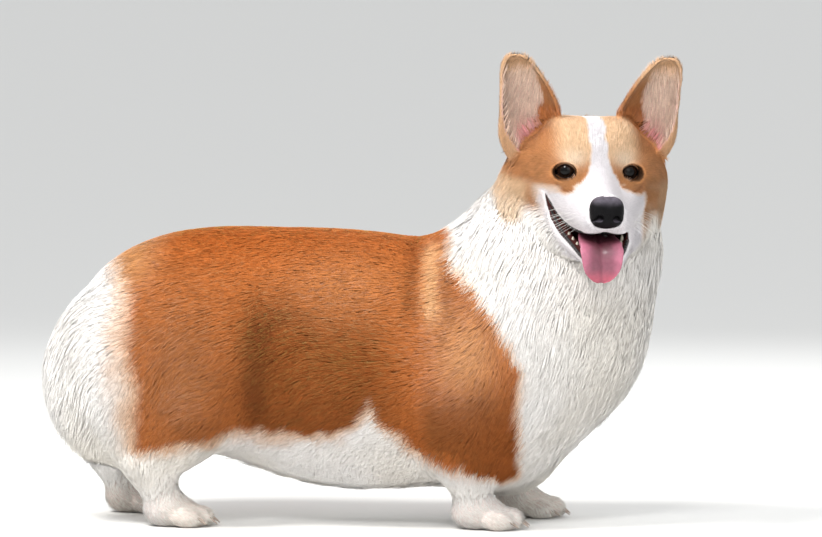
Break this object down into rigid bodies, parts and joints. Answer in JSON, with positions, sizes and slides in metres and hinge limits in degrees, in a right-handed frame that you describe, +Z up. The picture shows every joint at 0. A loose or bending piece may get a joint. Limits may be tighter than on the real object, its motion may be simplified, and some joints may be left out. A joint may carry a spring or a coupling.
{
  "type": "pembroke welsh corgi",
  "caption": "Life-size standing Pembroke Welsh corgi with erect ears, head turned to its right, open mouth and tongue out, long low body, white ruff and bobtail.",
  "frame": {"origin": "the middle of the whole dog's length and width, on the floor under its feet", "axes": "+X towards the chest, +Y to the dog's left, +Z up"},
  "size_m": [0.6368, 0.258, 0.4644],
  "materials": {
    "red_coat": "soft red coat",
    "white_coat": "soft white coat",
    "eye_gloss": "wet dark brown",
    "nose_pad": "moist grained black",
    "tongue_flesh": "moist pink"
  },
  "bodies": {
    "root": {"head": "red_coat", "lower_jaw": "white_coat", "nose": "nose_pad", "tongue": "tongue_flesh", "eye_right": "eye_gloss", "eye_left": "eye_gloss", "ear_right": "red_coat", "ear_left": "red_coat", "neck": "white_coat", "chest": "white_coat", "barrel": "red_coat", "rump": "red_coat", "tail": "red_coat", "hind_thigh_right": "red_coat", "hind_thigh_left": "red_coat", "hind_foot_right": "white_coat", "hind_foot_left": "white_coat", "fore_arm_right": "red_coat", "fore_arm_left": "red_coat", "fore_foot_right": "white_coat", "fore_foot_left": "white_coat"}
  },
  "joints": []
}
